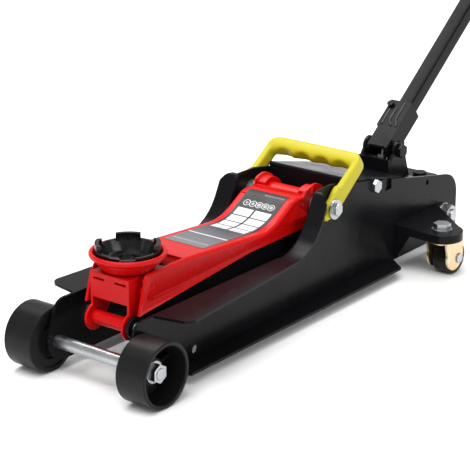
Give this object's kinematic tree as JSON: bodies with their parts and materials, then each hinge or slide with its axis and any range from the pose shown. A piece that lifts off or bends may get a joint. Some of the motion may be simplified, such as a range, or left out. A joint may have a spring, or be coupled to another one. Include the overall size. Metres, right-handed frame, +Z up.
{
  "type": "hydraulic trolley jack",
  "caption": "Low hydraulic trolley jack: steel frame on wheels and casters, lift arm with level saddle, hydraulic ram, pump handle and folding carrying handle.",
  "frame": {"origin": "on the floor, under the middle of the jack's overall length and width with the handle resting back", "axes": "+X to the saddle end, +Y to the jack's left, +Z up; wheels stand on z = 0"},
  "size_m": [1.0454, 0.27, 0.5038],
  "materials": {
    "frame_black": "gloss black powder coat",
    "arm_red": "gloss red paint",
    "saddle_black": "gloss black paint on a casting",
    "zinc": "bright zinc plate",
    "gold_zinc": "yellow passivated zinc plate",
    "steel": "ground steel",
    "cast": "painted casting",
    "nylon": "satin moulded nylon",
    "grip": "matt rubber",
    "yellow": "gloss moulded plastic",
    "label": "printed film"
  },
  "bodies": {
    "frame": {"side_plate_left": "frame_black", "side_plate_right": "frame_black", "front_axle": "zinc", "axle_nuts": "zinc", "arm_pivot_shaft": "zinc", "pivot_spacers": "zinc", "level_link_stubs": "frame_black", "carry_handle_bolts": "zinc", "cover_plate": "frame_black", "cover_bolts": "zinc", "tie_rod": "zinc", "tie_rod_nuts": "zinc", "caster_ear_left": "frame_black", "caster_ear_right": "frame_black", "caster_bolts": "zinc", "power_unit_block": "cast", "ram_cylinder": "cast", "gland_nut": "steel", "socket_bracket": "frame_black", "bracket_screws": "zinc", "fork_pivot_bolts": "frame_black", "filler_plug": "nylon", "return_spring_left": "zinc", "return_spring_right": "zinc", "pump_spring": "zinc"},
    "arm": {"lift_arm": "arm_red", "arm_pivot_tube": "arm_red", "arm_lever": "arm_red", "crank_pin": "steel", "arm_label": "label", "bracket_pin": "arm_red"},
    "bracket": {"saddle_bracket": "arm_red", "bracket_cross_tube": "arm_red", "level_link_pin": "zinc"},
    "level_links": {"level_link_left": "frame_black", "level_link_right": "frame_black"},
    "saddle_swivel": {"saddle_cup": "arm_red", "saddle": "saddle_black", "saddle_retainer": "saddle_black"},
    "ram": {"ram_rod": "steel", "ram_head": "cast"},
    "plunger": {"pump_plunger": "steel"},
    "fork": {"pump_fork": "frame_black", "cam_pin": "steel"},
    "handle": {"handle_socket": "frame_black", "clamp_bolt": "frame_black", "handle_lower": "frame_black", "handle_upper": "frame_black", "handle_grip": "grip"},
    "valve": {"release_valve": "steel"},
    "carrying_handle": {"carry_handle": "yellow"},
    "wheel_front_left": {"front_wheel_left": "nylon"},
    "wheel_front_right": {"front_wheel_right": "nylon"},
    "caster_left": {"caster_fork_left": "gold_zinc", "caster_axle_left": "zinc"},
    "caster_right": {"caster_fork_right": "gold_zinc", "caster_axle_right": "zinc"},
    "wheel_rear_left": {"caster_wheel_left": "nylon"},
    "wheel_rear_right": {"caster_wheel_right": "nylon"}
  },
  "joints": [
    {"name": "arm_lift", "type": "hinge", "parent": "frame", "child": "arm", "pos_m": [0.15766, 0, 0.115], "axis": [0, -1, 0], "range_deg": [0, 44], "stiffness_Nm_per_rad": 3, "springref_deg": -20.05, "deforming": ["return_spring_left", "return_spring_right"]},
    {"name": "bracket_level", "type": "hinge", "parent": "arm", "child": "bracket", "pos_m": [0.44166, 0, 0.094], "axis": [0, -1, 0], "range_deg": [-44, 0]},
    {"name": "link_swing", "type": "hinge", "parent": "frame", "child": "level_links", "pos_m": [0.17566, 0, 0.082], "axis": [0, -1, 0], "range_deg": [0, 44]},
    {"name": "ram_stroke", "type": "slide", "parent": "frame", "child": "ram", "axis": [1, 0, 0], "range_m": [0, 0.038]},
    {"name": "saddle_spin", "type": "hinge", "parent": "bracket", "child": "saddle_swivel", "pos_m": [0.43416, 0, 0.1125], "axis": [0, 0, 1], "continuous": true},
    {"name": "handle_pump", "type": "hinge", "parent": "frame", "child": "fork", "pos_m": [-0.03934, 0, 0.129], "axis": [0, 1, 0], "range_deg": [0, 47.5]},
    {"name": "plunger_stroke", "type": "slide", "parent": "frame", "child": "plunger", "axis": [0, 0, 1], "range_m": [0, 0.0185], "stiffness_N_per_m": 400, "springref_m": 0.05, "deforming": ["pump_spring"]},
    {"name": "handle_twist", "type": "hinge", "parent": "fork", "child": "handle", "pos_m": [-0.03934, 0, 0.129], "axis": [-0.7934, 0, 0.6088], "range_deg": [0, 120]},
    {"name": "valve_turn", "type": "hinge", "parent": "frame", "child": "valve", "pos_m": [-0.03934, 0, 0.129], "axis": [-0.2588, 0, 0.9659], "range_deg": [0, 120]},
    {"name": "carry_swing", "type": "hinge", "parent": "frame", "child": "carrying_handle", "pos_m": [0.15766, 0, 0.115], "axis": [0, 1, 0], "range_deg": [0, 75]},
    {"name": "front_left_roll", "type": "hinge", "parent": "frame", "child": "wheel_front_left", "pos_m": [0.48766, 0.0765, 0.035], "axis": [0, 1, 0], "continuous": true},
    {"name": "front_right_roll", "type": "hinge", "parent": "frame", "child": "wheel_front_right", "pos_m": [0.48766, -0.0765, 0.035], "axis": [0, 1, 0], "continuous": true},
    {"name": "caster_left_swivel", "type": "hinge", "parent": "frame", "child": "caster_left", "pos_m": [-0.00034, 0.11, 0.053], "axis": [0, 0, 1], "continuous": true},
    {"name": "caster_right_swivel", "type": "hinge", "parent": "frame", "child": "caster_right", "pos_m": [-0.00034, -0.11, 0.053], "axis": [0, 0, 1], "continuous": true},
    {"name": "caster_left_roll", "type": "hinge", "parent": "caster_left", "child": "wheel_rear_left", "pos_m": [-0.01734, 0.11, 0.02], "axis": [0, 1, 0], "continuous": true},
    {"name": "caster_right_roll", "type": "hinge", "parent": "caster_right", "child": "wheel_rear_right", "pos_m": [-0.01734, -0.11, 0.02], "axis": [0, 1, 0], "continuous": true}
  ],
  "couplings": [
    {"joint": "bracket_level", "follows": "arm_lift", "ratio": -1},
    {"joint": "link_swing", "follows": "arm_lift", "ratio": 1},
    {"joint": "ram_stroke", "follows": "arm_lift", "m_per_rad": 0.04878},
    {"joint": "plunger_stroke", "follows": "handle_pump", "m_per_rad": 0.021958},
    {"joint": "valve_turn", "follows": "handle_twist", "ratio": 1}
  ]
}
